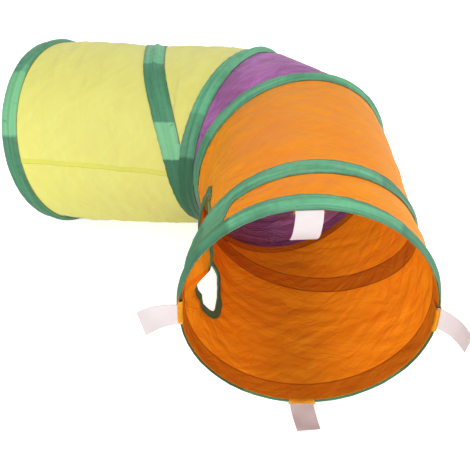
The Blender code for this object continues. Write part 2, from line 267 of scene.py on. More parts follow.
class Turn:
    """A sprung turn that spirals along a wall."""

    def __init__(self, wall, start, shares, from_far):
        self.wall = wall
        self.start = start
        self.shares = shares
        self.from_far = from_far

    def climbed(self, t, step=0.0):
        """The share of the wall's length climbed a step after t."""
        swept = np.mod(t - self.start, TURN) / TURN + step / TURN
        return climb(self.shares, np.minimum(swept, 1))

    def middle(self, t):
        share = self.climbed(t)
        return (1 - share if self.from_far else share) * self.wall.length(t)

    def slant(self, t):
        """The tape's width along the wall for each unit of width across the tape."""
        step = 0.01
        rise = (self.climbed(t, step) - self.climbed(t)) * self.wall.length(t) / (TUNNEL_RADIUS * step)
        return np.sqrt(1 + rise**2)


FRONT = ("front_bend_wire", "front_mouth_wire", -1)
REAR = ("rear_bend_wire", "rear_end_wire", 1)
front_bend, front_mouth = (Hoop(node, *FRONT) for node in FRONT[:2])
rear_bend, rear_end = (Hoop(node, *REAR) for node in REAR[:2])
front_wall = Wall(front_bend, front_mouth)
rear_wall = Wall(rear_bend, rear_end)
bend_wall = Wall(front_bend, rear_bend)
front_turn = Turn(front_wall, FRONT_TURN_START, FRONT_TURN_CLIMB, True)
rear_turn = Turn(rear_wall, REAR_TURN_START, REAR_TURN_CLIMB, False)
HINGES = {joint["name"]: np.array(joint["pos_m"]) for joint in frame["joints"] if "pos_m" in joint}


# Cloth relief


def smooth(x):
    x = np.clip(x, 0, 1)
    return x * x * (3 - 2 * x)


def tape_way(wall, turn, t, m):
    """Signed distance from the middle of the nearest tape, measured across it."""
    from_end = m - wall.length(t)
    if wall is rear_wall:
        from_end = np.where(from_end < 0, from_end - (TAPE_HALF - REAR_END_LEG), from_end)
    ways = [m, from_end]
    if turn is not None:
        ways.append((m - turn.middle(t)) / turn.slant(t))
    ways = np.array(ways)
    return np.take_along_axis(ways, np.abs(ways).argmin(0)[None], 0)[0]


def noise_at(points, size, seed):
    shift = Vector((seed * 7.3, seed * 3.1, seed * 5.7))
    return np.array([noise.noise(Vector(p) / size + shift) for p in points])


def fold_noise(t, m, lean, width, seed):
    """Noise drawn out round the tube; its folds lean one way at the top and the other on the floor."""
    stretch = TUNNEL_RADIUS / (4 * width)
    run = m + lean * TUNNEL_RADIUS * np.sin(t - 1.2)
    spots = np.column_stack((np.cos(t), np.sin(t), run / width)) * (stretch, stretch, 1)
    return noise_at(spots, 1.0, seed)


def signed(value, power):
    """The power of a value's size, with its sign kept."""
    return np.sign(value) * np.abs(value) ** power


def hole_middle():
    return front_wall.length(np.zeros(1))[0] - PEEPHOLE_FROM_MOUTH


def hole_squareness(x):
    """The hole's lower end is cut nearly square and its upper end round."""
    return np.where(x > 0, PEEPHOLE_UPPER_SQUARENESS, PEEPHOLE_LOWER_SQUARENESS)


def hole_way(t, m):
    """Distance from the peephole's edge, positive outside the hole."""
    x = ((np.mod(t + PI, TURN) - PI) * TUNNEL_RADIUS + PEEPHOLE_DROP) / PEEPHOLE_HALF_ARC
    y = (m - hole_middle()) / PEEPHOLE_HALF
    n = hole_squareness(x)
    reach = np.maximum((np.abs(x) ** n + np.abs(y) ** n) ** (1 / n), 0.05)
    slope_x = (np.abs(x) / reach) ** (n - 1) / PEEPHOLE_HALF_ARC
    slope_y = (np.abs(y) / reach) ** (n - 1) / PEEPHOLE_HALF
    return (reach - 1) / np.hypot(slope_x, slope_y)


def hole_edge(a):
    """The peephole's outline at the angles a, as t and m, and the way off the hole in those two terms."""
    x, y = np.sin(a), np.cos(a)
    n = hole_squareness(x)
    reach = (np.abs(x) ** n + np.abs(y) ** n) ** (-1 / n)
    t = (PEEPHOLE_HALF_ARC * reach * x - PEEPHOLE_DROP) / TUNNEL_RADIUS
    m = hole_middle() + PEEPHOLE_HALF * reach * y
    way = np.column_stack((signed(x, n - 1) * PEEPHOLE_HALF, signed(y, n - 1) * PEEPHOLE_HALF_ARC))
    return t, m, unit(way)


def relief(sizes, wall, turn, t, m, seed):
    """How far the cloth stands off its straight way: swollen, drawn in, folded or sagging."""
    held_reach = 0.035
    gather_reach = 0.02
    rim_reach = 0.030
    way = tape_way(wall, turn, t, m)
    from_tape = np.abs(way) - TAPE_HALF
    free = smooth((from_tape + TAPE_HALF * 0.2) / held_reach)
    low = smooth((-np.sin(t) - 0.55) / 0.4)
    inner = smooth((np.cos(t) - 0.6) / 0.3)
    bend_swell, bend_folds = (2.5, 1.8) if turn is None else (1.0, 1.0)
    swell = sizes.swell * bend_swell * (1 - low) * (1 - inner)
    rise = free * (sizes.floor_sag * low + swell - sizes.pull_in * inner)

    broad = noise_at(wall.point(t, m, 0), 0.055, seed)
    rising = fold_noise(t, m, 0.5, 0.014, seed + 1)
    falling = fold_noise(t, m, -0.6, 0.018, seed + 2)
    folds = 1.2 * broad + 1.1 * rising + 0.5 - np.abs(falling) * 2.4
    rise += free * sizes.fold_height * bend_folds * folds

    gathers = np.sin(23 * t + 3 * broad + way * 60) * np.exp(-np.maximum(from_tape, 0) / gather_reach)
    rise += 0.35 * sizes.fold_height * gathers * smooth(from_tape / 0.006)
    if wall is front_wall:
        side = np.degrees(np.mod(t + PI, TURN) - PI)
        from_rim = wall.length(t) - m - PEEPHOLE_FROM_MOUTH + PEEPHOLE_HALF
        near = smooth(1.4 - from_rim / rim_reach)
        near_sag = np.interp(side, *zip(*NEAR_RIM_SAG))
        far_sag = np.interp(side, *zip(*FAR_RIM_SAG))
        sag = near * near_sag + (1 - near) * far_sag
        rise -= sizes.hole_droop * sag * smooth((np.abs(way) - 0.010) / rim_reach)
    return np.minimum(rise, FLOOR_LIFT * 0.8)


# Modelling helpers


def grid_sheet(name, columns, rows):
    """A flat grid on the unit square, as a new piece, with its two coordinates."""
    bpy.ops.object.select_all(action="DESELECT")
    bpy.ops.mesh.primitive_grid_add(
        x_subdivisions=columns, y_subdivisions=rows, size=1, location=(0.5, 0.5, 0)
    )
    piece = bpy.context.object
    piece.name = name
    piece.data.name = name
    bpy.ops.object.transform_apply(location=True, rotation=False, scale=False)
    co = np.array([v.co for v in piece.data.vertices])
    return piece, co[:, 0], co[:, 1]


def shape_sheet(piece, points, across, along):
    """Moves the grid's points and lays out its cut pattern, in metres."""
    piece.data.vertices.foreach_set("co", np.asarray(points, float).ravel())
    cut = np.column_stack((across, along))
    corners = np.zeros(len(piece.data.loops), int)
    piece.data.loops.foreach_get("vertex_index", corners)
    layer = piece.data.uv_layers.active or piece.data.uv_layers.new(name="cut")
    layer.data.foreach_set("uv", cut[corners].ravel())
    piece.data.update()


def add_value(piece, name, values):
    attribute = piece.data.attributes.new(name, "FLOAT", "POINT")
    attribute.data.foreach_set("value", np.asarray(values, np.float32))


def pick(piece):
    bpy.ops.object.select_all(action="DESELECT")
    piece.select_set(True)
    bpy.context.view_layer.objects.active = piece


def edit(piece, *operations):
    """Runs edit mode operators on the whole piece."""
    pick(piece)
    bpy.ops.object.mode_set(mode="EDIT")
    bpy.ops.mesh.select_all(action="SELECT")
    for operator, options in operations:
        operator(**options)
    bpy.ops.object.mode_set(mode="OBJECT")


def thicken(piece, thickness):
    modifier = piece.modifiers.new("thickness", "SOLIDIFY")
    modifier.thickness = thickness
    modifier.offset = 0
    pick(piece)
    bpy.ops.object.modifier_apply(modifier=modifier.name)


def sew_and_thicken(piece, thickness, outwards):
    """Sews the grid's two long edges where they meet, and makes the sheet nearly its full thickness."""
    edit(piece, (bpy.ops.mesh.remove_doubles, {"threshold": SEW_REACH}))
    turn_outwards(piece, outwards)
    thicken(piece, thickness * SLIM)
    bpy.ops.object.shade_smooth_by_angle(angle=SEWN_EDGE)


def turn_outwards(piece, outwards):
    """Flips the sheet's faces if they look against the given direction at their own place."""
    polygon = max(piece.data.polygons, key=lambda p: p.area)
    if polygon.normal.dot(Vector(outwards(np.array(polygon.center)))) < 0:
        edit(piece, (bpy.ops.mesh.flip_normals, {}))


def off_line(start, way):
    """The direction straight away from a line, as a function of the place."""

    def outwards(p):
        return (p - start) - ((p - start) @ way) * way

    return outwards


def off_axis(wall):
    return off_line(wall.near.centre, unit(wall.far.centre - wall.near.centre))


def finish_piece(piece, finish):
    piece.data.materials.clear()
    piece.data.materials.append(bpy.data.materials[finish])


# Shader nodes


class Net:
    """Adds nodes to a tree; an input is a plain value or another node's output."""

    def __init__(self, tree):
        self.tree = tree

    def plug(self, node, key, value):
        socket = node.inputs[key]
        if isinstance(value, bpy.types.NodeSocket):
            self.tree.links.new(value, socket)
        else:
            socket.default_value = value

    def node(self, kind, inputs=(), **settings):
        made = self.tree.nodes.new(kind)
        for key, value in settings.items():
            setattr(made, key, value)
        for key, value in dict(inputs).items():
            self.plug(made, key, value)
        return made

    def math(self, operation, a, b=0.0, c=0.0):
        return self.node("ShaderNodeMath", {0: a, 1: b, 2: c}, operation=operation).outputs[0]

    def vector_math(self, operation, a, b):
        return self.node("ShaderNodeVectorMath", {0: a, 1: b}, operation=operation).outputs[0]

    def ramp(self, value, low, high, out_low=0.0, out_high=1.0):
        inputs = {0: value, 1: low, 2: high, 3: out_low, 4: out_high}
        return self.node("ShaderNodeMapRange", inputs, interpolation_type="SMOOTHSTEP").outputs[0]

    def mix(self, factor, a, b, blend="MIX"):
        made = self.node("ShaderNodeMix", {0: factor}, data_type="RGBA", blend_type=blend)
        self.plug(made, 6, a)
        self.plug(made, 7, b)
        return made.outputs[2]

    def noise(self, vector, scale, detail=2.0, distortion=0.0):
        inputs = {"Vector": vector, "Scale": scale, "Detail": detail, "Distortion": distortion}
        return self.node("ShaderNodeTexNoise", inputs).outputs[0]

    def streaks(self, cut, length, width, angle, detail=2.0):
        """Noise drawn out one way on the cut pattern; sizes in metres, angle in degrees off the round."""
        inputs = {"Vector": cut, "Scale": (length, width, 1), "Rotation": (0, 0, math.radians(angle))}
        turned = self.node("ShaderNodeMapping", inputs, vector_type="TEXTURE").outputs[0]
        return self.noise(turned, 1.0, detail)

    def line(self, value, middle, inner, outer):
        """One where a value is within inner of its middle, fading to nothing at outer."""
        away = self.math("ABSOLUTE", self.math("SUBTRACT", value, middle))
        return self.ramp(away, inner, outer, 1.0, 0.0)

    def attribute(self, name):
        return self.node("ShaderNodeAttribute", attribute_name=name).outputs["Fac"]

    def bump(self, shader, height, strength, distance):
        made = self.node("ShaderNodeBump", {"Strength": strength, "Distance": distance, "Height": height})
        self.plug(shader, "Normal", made.outputs[0])

    def blend(self, *parts):
        """The sum of values, each given with its weight."""
        total = self.math("MULTIPLY", *parts[0])
        for value, weight in parts[1:]:
            total = self.math("MULTIPLY_ADD", value, weight, total)
        return total


def group(name, vectors_in, values_out):
    """A node group that takes vectors and gives values: its net and its two end nodes."""
    tree = bpy.data.node_groups.new(name, "ShaderNodeTree")
    for socket in vectors_in:
        tree.interface.new_socket(socket, in_out="INPUT", socket_type="NodeSocketVector")
    for socket in values_out:
        tree.interface.new_socket(socket, in_out="OUTPUT", socket_type="NodeSocketFloat")
    net = Net(tree)
    return net, net.node("NodeGroupInput"), net.node("NodeGroupOutput")


def build_crinkle_group():
    """Thin stiff cloth: long folds that cross at a low angle, sharp creases, fine wrinkles and a weave,
    with painted light and shade on the folds.
    """
    net, start, end = group("crinkle", ("Place", "Cut"), ("Height", "Shade"))
    place, cut = start.outputs[0], start.outputs[1]
    warp = net.node("ShaderNodeTexNoise", {"Vector": place, "Scale": 14.0, "Detail": 2.0}).outputs[1]
    warp = net.vector_math("SUBTRACT", warp, (0.5, 0.5, 0.5))
    bent = net.vector_math("ADD", cut, net.vector_math("MULTIPLY", warp, (0.05, 0.05, 0.05)))
    rising = net.streaks(bent, 0.070, 0.016, 24)
    falling = net.streaks(bent, 0.055, 0.012, -31)
    wrinkles = net.streaks(bent, 0.030, 0.0045, 14)
    crossed = net.streaks(bent, 0.022, 0.0040, -52)
    crease = net.line(net.streaks(bent, 0.080, 0.028, 40, 0.0), 0.5, 0.0, 0.02)
    threads = {"Vector": cut, "Scale": 900.0, "Distortion": 0.6, "Detail": 1.0}
    weave = net.node("ShaderNodeTexWave", threads, bands_direction="X").outputs[1]
    parts = (rising, 1.0), (falling, 0.8), (wrinkles, 0.22), (crossed, 0.06), (crease, 0.10), (weave, 0.006)
    net.plug(end, 0, net.blend(*parts))
    # Shade: painted light and shade, lighter and darker along the same fold streaks as the height, with a
    # random mottle
    shade = net.blend((rising, 0.9), (falling, 0.8), (wrinkles, 0.5), (net.noise(place, 9, 2.0), 0.8))
    net.plug(end, 1, net.ramp(shade, 1.1, 1.9))
    return net.tree


def new_material(name, **constants):
    """A material with plain values on its shader: the material, its net and its shader."""
    material = bpy.data.materials.new(name)
    material.use_nodes = True
    net = Net(material.node_tree)
    shader = material.node_tree.nodes["Principled BSDF"]
    for key, value in constants.items():
        net.plug(shader, key.replace("_", " "), value)
    return material, net, shader


def shade_of(colour, factor, warmth=0.0):
    """A darker or lighter version of a colour; warmth moves it towards red."""
    r, g, b = (min(1.0, c * factor) for c in colour)
    return (min(1.0, r * (1 + warmth)), g * (1 - warmth), b * (1 - warmth), 1)


def doubled(colour):
    """The deeper colour of two layers of a cloth."""
    return (*(min(1.0, 1.06 * c**1.45) for c in colour), 1)


def cloth_material(name, colour, crinkle, contrast, bump):
    """Thin crinkled cloth that glows with the light behind it, deeper along its seam, with painted light
    and shade on its folds and a painted shadow band where a tape lies on its outer face.
    """
    material, net, shader = new_material(
        name,
        Roughness=0.55,
        Specular_IOR_Level=0.12,
        Subsurface_Weight=0.9,
        Subsurface_Radius=(1.0, 0.9, 0.5),
        Subsurface_Scale=0.0035,
    )
    coords = net.node("ShaderNodeTexCoord").outputs
    inputs = {"Place": coords["Object"], "Cut": coords["UV"]}
    made = net.node("ShaderNodeGroup", inputs, node_tree=crinkle).outputs
    # The folds' painted light and shade, as a darker, warmer colour and a paler one
    deep, pale = shade_of(colour, 1 - contrast, 0.03), shade_of(colour, 1 + contrast / 2)
    shaded = net.mix(made["Shade"], deep, pale)

    seam = net.attribute("seam_way")
    strip = net.ramp(seam, SEAM_WIDTH - 0.0004, SEAM_WIDTH + 0.0002, 1.0, 0.0)
    stitched = net.ramp(seam, 0.0007, 0.0013, 1.0, 0.0)
    way = net.attribute("tape_way")
    tape_shadow = net.ramp(way, TAPE_HALF - 0.0003, TAPE_HALF + 0.0003, 1.0, 0.0)
    tape_edge_shadow = net.line(way, TAPE_HALF - 0.0008, 0.0005, 0.0014)
    # The seam strip and its stitching are the cloth's own; the last two layers are painted shadow: a dark
    # band and a darker edge line where a tape outside blocks the light
    for mask, share, layer in (
        (strip, 0.8, doubled(colour)),
        (stitched, 0.5, shade_of(colour, 0.5, 0.05)),
        (tape_shadow, 0.62, shade_of(colour, 0.42, 0.1)),
        (tape_edge_shadow, 0.6, shade_of(colour, 0.18, 0.1)),
    ):
        shaded = net.mix(net.math("MULTIPLY", mask, share), shaded, layer)
    net.plug(shader, "Base Color", shaded)
    net.plug(shader, "Roughness", net.ramp(made["Height"], 0.7, 1.6, 0.48, 0.62))
    net.bump(shader, made["Height"], 0.9, bump)
    return material


def build_tape_group():
    """Ribbon tape: fold lines along it, gathers at its edges, and a stitched line near each edge, with
    painted light and shade on the folds and painted shade in the puckers.
    """
    net, start, end = group("tape_weave", ("Cut",), ("Height", "Shade", "Dark"))
    cut = start.outputs[0]
    split = net.node("ShaderNodeSeparateXYZ", {0: cut})
    along, across = split.outputs[0], split.outputs[1]
    folds = net.streaks(cut, 0.090, 0.0032, 1, 3.0)
    gathers = net.streaks(cut, 0.0055, 0.014, 24)
    broad = net.streaks(cut, 0.060, 0.030, 0)
    edge = net.math("SUBTRACT", TAPE_HALF, net.math("ABSOLUTE", across))
    line = net.line(edge, 0.0022, 0.0002, 0.0007)
    dash = net.ramp(net.math("FRACT", net.math("MULTIPLY", along, 300.0)), 0.25, 0.35)
    stitch = net.math("MULTIPLY", line, dash)
    near_edge = net.ramp(edge, 0.0, 0.009, 1.0, 0.2)
    ruffles = net.math("MULTIPLY", gathers, near_edge)
    net.plug(end, 0, net.blend((ruffles, 1.2), (folds, 0.5), (line, -0.2), (stitch, 0.15)))
    # Shade: painted light and shade on the fold lines and gathers, with a broad random mottle
    shade = net.blend((folds, 0.9), (broad, 0.6), (gathers, 0.35))
    net.plug(end, 1, net.ramp(shade, 0.62, 1.24))
    # Dark: painted shade in the puckers of the gathered edges, a darker border along each edge, and the
    # stitches
    pucker_shade = net.math("MULTIPLY", net.ramp(gathers, 0.60, 0.68), net.ramp(broad, 0.47, 0.58))
    pucker_shade = net.math("MULTIPLY", pucker_shade, near_edge)
    border = net.ramp(edge, 0.0004, 0.0014, 0.75, 0.0)
    dark = net.math("MAXIMUM", net.math("MAXIMUM", pucker_shade, border), net.math("MULTIPLY", stitch, 0.5))
    net.plug(end, 2, dark)
    return net.tree


def tape_material(name, colours, weave):
    """Green ribbon, lighter where it is single and darker where it is folded double, with painted light and
    shade on its folds, along its stretches and in its puckers.
    """
    material, net, shader = new_material(name, Roughness=0.5, Specular_IOR_Level=0.3)
    inputs = {"Cut": net.node("ShaderNodeTexCoord").outputs["UV"]}
    made = net.node("ShaderNodeGroup", inputs, node_tree=weave).outputs
    tone = net.attribute("tone")
    dark = (*colours.green_doubled_and_shaded, 1)
    # Painted light and shade on the tape's folds, with a random mottle
    shaded = net.mix(made["Shade"], shade_of(colours.green, 0.68), shade_of(colours.green, 1.35))
    # The tone's stretches: partly single and doubled tape, partly painted light and shade
    shaded = net.mix(net.math("MAXIMUM", tone, 0.0), shaded, (*colours.green_single_and_lit, 1))
    shaded = net.mix(net.math("MAXIMUM", net.math("MULTIPLY", tone, -1.0), 0.0), shaded, dark)
    shaded = net.mix(net.math("MULTIPLY", made["Dark"], 0.7), shaded, dark)
    net.plug(shader, "Base Color", shaded)
    net.bump(shader, made["Height"], 0.8, 0.0007)
    return material


def tab_material(name, colour):
    """A white woven ribbon with a faint rib across it."""
    material, net, shader = new_material(name, Roughness=0.62)
    coords = net.node("ShaderNodeTexCoord").outputs
    inputs = {"Vector": coords["UV"], "Scale": 420.0}
    ribs = net.node("ShaderNodeTexWave", inputs, bands_direction="Y").outputs[1]
    soft = net.noise(coords["Object"], 60.0, 3.0)
    shaded = net.mix(soft, shade_of(colour, 0.93), shade_of(colour, 1.04))
    shaded = net.mix(net.math("MULTIPLY", ribs, 0.08), shaded, shade_of(colour, 0.8))
    net.plug(shader, "Base Color", shaded)
    net.bump(shader, net.blend((ribs, 0.4), (soft, 1.5)), 0.5, 0.0004)
    return material


def wire_material(name, colour):
    """Drawn spring steel with faint streaks."""
    material, net, shader = new_material(name, Roughness=0.3, Metallic=1.0)
    marks = net.noise(net.node("ShaderNodeTexCoord").outputs["Object"], 900.0, 2.0)
    net.plug(shader, "Base Color", net.mix(marks, shade_of(colour, 0.8), shade_of(colour, 1.1)))
    net.plug(shader, "Roughness", net.ramp(marks, 0.3, 0.7, 0.22, 0.42))
    return material


# Cloth panels


def sheet_rows(length, sizes):
    return max(4, round(length / sizes.mesh_step))


def seam_columns(u, columns, width):
    """Angles of a rolled sheet's columns from its seam; the first few shape the doubled strip."""
    k = np.rint(u * columns)
    strip = width / TUNNEL_RADIUS
    shares = (0.0, 0.06, 0.5, 0.94, 1.0)
    last = len(shares) - 1
    rest = strip + (TURN - strip) * (k - last) / (columns - last)
    return np.where(k < last, np.interp(k, range(len(shares)), shares) * strip, rest)


def seam_drift(wall, t, m):
    """How far an arm's long seam has turned off the inner side of the bend."""
    return REAR_SEAM_DRIFT * m / wall.length(t) if wall is rear_wall else np.zeros_like(m)


def cloth_tube(name, wall, turn, start, stop, seed, sizes):
    """A sheet rolled round a wall from start to stop, which give the way along it at t."""
    columns = sheet_rows(TURN * TUNNEL_RADIUS, sizes)
    span = np.array((0.0, PI))
    rows = sheet_rows(float((stop(span) - start(span)).max()), sizes)
    piece, u, v = grid_sheet(name, columns, rows)
    flat = seam_columns(u, columns, sizes.seam_width)
    t = flat + seam_drift(wall, flat, start(flat) + (stop(flat) - start(flat)) * v)
    m = start(t) + (stop(t) - start(t)) * v
    around = flat * TUNNEL_RADIUS
    step = sizes.seam_width * 0.06
    strip = smooth(around / step) * smooth((sizes.seam_width - around) / step)
    off = CLOTH / 2 + relief(sizes, wall, turn, t, m, seed) + SEAM_LIFT * strip
    shape_sheet(piece, wall.point(t, m, off), t * TUNNEL_RADIUS, m)
    # Distance from the nearest tape, from which the finish paints the tape's shadow band on the cloth
    add_value(piece, "tape_way", np.abs(tape_way(wall, turn, t, m)))
    far_side = SEAM_AWAY + TURN * TUNNEL_RADIUS - around
    add_value(piece, "seam_way", np.where(around < PI * TUNNEL_RADIUS, around, far_side))
    return piece


def declare_cloth(start, stop):
    """Works out the sheet's length from start to stop round the tube, and keeps nothing."""
    t = np.linspace(0, TURN, 200)
    lengths = stop(t) - start(t)


# Tape casings


def pocket(q, height, half):
    """Height of the tape over the wire at q across the tape."""
    return height * smooth(1 - np.abs(q) / half)


def pucker(t, q, seed):
    spots = np.column_stack((np.cos(t) * 0.127, np.sin(t) * 0.127, q * 0.4))
    return noise_at(spots, 0.0085, seed) * smooth(np.abs(q) / TAPE_HALF) * 0.0005


def add_tone(piece, place, t):
    """Marks the tape's lighter and darker stretches, partly doubled tape and partly painted light and
    shade, with short steps between them.
    """
    degrees = np.degrees(t)
    step = 0.6
    tone = np.zeros_like(t)
    for start, stop, value in TONES[place]:
        middle = (start + stop) / 2
        away = np.abs(np.mod(degrees - middle + 180, 360) - 180)
        tone += value * np.clip(((stop - start) / 2 - away) / step + 0.5, 0, 1)
    add_value(piece, "tone", tone)


def scallop(t, seed):
    """How far a tape's gathered edge draws in."""
    ring = np.column_stack((np.cos(t), np.sin(t), np.zeros_like(t)))
    return np.abs(noise_at(ring * 12, 1.0, seed)) * 0.0022


def finish_casing(piece, t, outwards):
    add_tone(piece, piece.name.removesuffix("_casing"), t)
    sew_and_thicken(piece, TAPE, outwards)
    finish_piece(piece, "ribbon_green")
    return piece


def hoop_casing(name, hoop, ahead, behind, seed, ahead_leg):
    """Tape round a hoop. ahead and behind give the wall on each side, or None past a free end."""
    piece, u, v = grid_sheet(name, 360, 18)
    t = u * TURN
    base = np.full_like(t, TAPE_BASE)
    ridge_gap = 0.0007
    pocket_half = 0.0058
    ways = {}
    reach = {}
    for side, wall in ((1, ahead), (-1, behind)):
        if wall is not None:
            ways[side] = unit(wall.run(t, base))
            leg = (ahead_leg if side == 1 else TAPE_HALF) - scallop(t, seed + side)
            reach[side] = np.minimum(leg, wall.length(t) / 2 - ridge_gap)
    if -1 not in ways:
        ways[-1] = -ways[1]
        reach[-1] = np.full_like(t, TAPE_HALF)
    q = -reach[-1] + (reach[1] + reach[-1]) * v
    ridge = HOOP_POCKET * (1 + 0.15 * noise_at(hoop.point(t, base), 0.03, seed))
    off = TAPE_BASE + TAPE / 2 + pocket(q, ridge, pocket_half) + pucker(t, q, seed)
    way = np.where((q > 0)[:, None], ways[1], ways[-1])
    points = hoop.point(t, off) + way * np.abs(q)[:, None]
    points[:, 2] = np.maximum(points[:, 2], TAPE / 2)
    shape_sheet(piece, points, t * TUNNEL_RADIUS, q)
    return finish_casing(piece, t, off_line(hoop.centre, hoop.normal))


def turn_casing(name, turn, seed):
    """Tape over a sprung turn, tucked under the hoops' own tape and gathered up to it near them."""
    piece, u, v = grid_sheet(name, 340, 16)
    wall = turn.wall
    overlap = 0.0024
    pocket_half = 0.0042
    pocket_fade = 0.012
    gather_from, gather_to = 0.006, 0.003
    tuck_length = 0.0015
    tuck_depth = 0.0004
    clear = TAPE_HALF - overlap
    every = turn.start + np.linspace(0.002, 0.998, 600) * TURN
    room = np.minimum(turn.middle(every), wall.length(every) - turn.middle(every))
    shown = every[room + TAPE_HALF * turn.slant(every) > clear + MM]
    t = shown[0] + (shown[-1] - shown[0]) * u
    middle = turn.middle(t)
    last = wall.length(t) - clear
    low = np.maximum(middle - (TAPE_HALF - scallop(t, seed)) * turn.slant(t), clear)
    high = np.minimum(middle + (TAPE_HALF - scallop(t, seed + 1)) * turn.slant(t), last)
    gap = low - clear
    low -= gap * smooth((gather_from - gap) / (gather_from - gather_to))
    if turn is front_turn:
        swept = np.degrees(t - turn.start)
        high += (last - high) * smooth((GATHERED[1] - swept) / (GATHERED[1] - GATHERED[0]))
    m = low + (high - low) * v
    q = (m - middle) / turn.slant(t)
    ends = smooth((np.minimum(middle, wall.length(t) - middle) - TAPE_HALF) / pocket_fade)
    tucked = smooth(1 - (np.minimum(m, wall.length(t) - m) - TAPE_HALF) / tuck_length)
    off = TAPE_BASE + TAPE / 2 + pocket(q, TURN_POCKET, pocket_half) * ends
    off += pucker(t, q, seed) * (1 - tucked) - tuck_depth * tucked
    shape_sheet(piece, wall.point(t, m, off), t * TUNNEL_RADIUS, (v - 0.5) * 2 * TAPE_HALF)
    return finish_casing(piece, t, off_axis(wall))


# Where an arm's cloth parts between its wedge and its sleeve, and baking the pieces' placement


ARM_ENDS = {"front": ("front_mouth", front_mouth), "rear": ("rear_end", rear_end)}


def arm_split(arm, wall):
    """Where an arm's wall parts between its wedge and its sleeve, as a function of t."""
    spot = HINGES[f"{arm}_swing"]
    return lambda t: wall.crossing(t, spot, ARM_ENDS[arm][1].normal)


def follow_sleeve(piece):
    """Bakes the placement of cloth between an arm's split and its end hoop into its mesh."""
    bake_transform(piece)


def follow_wedge(piece):
    """Bakes the placement of cloth between a bend hoop and the split into its mesh."""
    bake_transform(piece)


# Operators


class TUNNEL_OT_finishes(bpy.types.Operator):
    """Build the shared node groups and every cloth, tape and metal finish"""

    bl_idname = "tunnel.finishes"
    bl_label = "Finishes"

    def execute(self, context):
        colours = context.scene.tunnel_colours
        crinkle = build_crinkle_group()
        weave = build_tape_group()
        cloth_material("crinkle_orange", colours.orange, crinkle, 0.10, 0.0030)
        cloth_material("crinkle_purple", colours.purple, crinkle, 0.32, 0.0055)
        cloth_material("crinkle_yellow", colours.yellow, crinkle, 0.035, 0.0014)
        tape_material("ribbon_green", colours, weave)
        tab_material("ribbon_white", colours.tab)
        wire_material("drawn_steel", colours.wire)
        for name, node in frame["nodes"].items():
            if name.endswith(("_wire", "_ferrule")):
                node.data.materials.clear()
                node.data.materials.append(bpy.data.materials["drawn_steel"])
        return {"FINISHED"}


def bend_edge(t):
    """Where the cloth starts from a bend hoop, as a function of t."""
    return np.full_like(t, EDGE_GAP)


def add_arm(arm, colour, wall, turn, seed, sizes):
    """An arm's cloth in two sheets, which part at the plane of its middle joint."""
    split = arm_split(arm, wall)

    def end_edge(t):
        return wall.length(t) + LIP

    wedge = cloth_tube(f"{arm}_wedge_cloth", wall, turn, bend_edge, split, seed, sizes)
    sleeve = cloth_tube(f"{arm}_sleeve_cloth", wall, turn, split, end_edge, seed, sizes)
    if arm == "front":
        open_peephole(sleeve)
    for piece in (wedge, sleeve):
        sew_and_thicken(piece, CLOTH, off_axis(wall))
        finish_piece(piece, f"crinkle_{colour}")
        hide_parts(f"{colour}_panel")
    declare_cloth(bend_edge, split)
    declare_cloth(split, end_edge)
    follow_wedge(wedge)
    follow_sleeve(sleeve)


def open_peephole(piece):
    """Deletes the cloth inside the peephole; the binding covers the raw edge."""
    raw_edge = 0.0012
    cut = bmesh.new()
    cut.from_mesh(piece.data)
    uv = cut.loops.layers.uv.active
    gone = []
    for face in cut.faces:
        middle = sum((loop[uv].uv for loop in face.loops), Vector((0, 0))) / len(face.loops)
        if hole_way(middle.x / TUNNEL_RADIUS, middle.y) < raw_edge:
            gone.append(face)
    bmesh.ops.delete(cut, geom=gone, context="FACES")
    cut.to_mesh(piece.data)
    cut.free()


class TUNNEL_OT_arms(bpy.types.Operator):
    """Add the orange front arm and the yellow rear arm"""

    bl_idname = "tunnel.arms"
    bl_label = "Cloth Arms"

    def execute(self, context):
        sizes = context.scene.tunnel_sizes
        add_arm("front", "orange", front_wall, front_turn, FRONT_FOLDS_SEED, sizes)
        add_arm("rear", "yellow", rear_wall, rear_turn, REAR_FOLDS_SEED, sizes)
        return {"FINISHED"}


class TUNNEL_OT_bend(bpy.types.Operator):
    """Add the purple cloth of the bend"""

    bl_idname = "tunnel.bend"
    bl_label = "Bend Cloth"

    def execute(self, context):
        sizes = context.scene.tunnel_sizes

        def far_edge(t):
            return bend_wall.length(t) - EDGE_GAP

        piece = cloth_tube("bend_cloth", bend_wall, None, bend_edge, far_edge, BEND_FOLDS_SEED, sizes)
        sew_and_thicken(piece, CLOTH, off_axis(bend_wall))
        finish_piece(piece, "crinkle_purple")
        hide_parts("purple_panel")
        declare_cloth(bend_edge, far_edge)
        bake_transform(piece)
        return {"FINISHED"}


class TUNNEL_OT_casings(bpy.types.Operator):
    """Add the green tape over the four hoops and the two sprung turns"""

    bl_idname = "tunnel.casings"
    bl_label = "Tape Casings"

    def execute(self, context):
        hoops = (
            ("front_mouth", "front_mouth", front_mouth, Wall(front_mouth, front_bend), None),
            ("front_bend", "bend", front_bend, front_wall, bend_wall),
            ("rear_bend", "rear_bend", rear_bend, rear_wall, Wall(rear_bend, front_bend)),
            ("rear_end", "rear_end", rear_end, Wall(rear_end, rear_bend), None),
        )
        for seed, (place, body, hoop, ahead, behind) in enumerate(hoops):
            leg = REAR_END_LEG if place == "rear_end" else TAPE_HALF
            piece = hoop_casing(f"{place}_casing", hoop, ahead, behind, 20 + 3 * seed, leg)
            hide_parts(f"{place}_tape")
            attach(piece, body)
        for arm, turn in (("front", front_turn), ("rear", rear_turn)):
            piece = turn_casing(f"{arm}_turn_casing", turn, seed=30)
            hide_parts(f"{arm}_turn_tape", f"{arm}_turn_wire")
            follow_sleeve(piece)
        return {"FINISHED"}


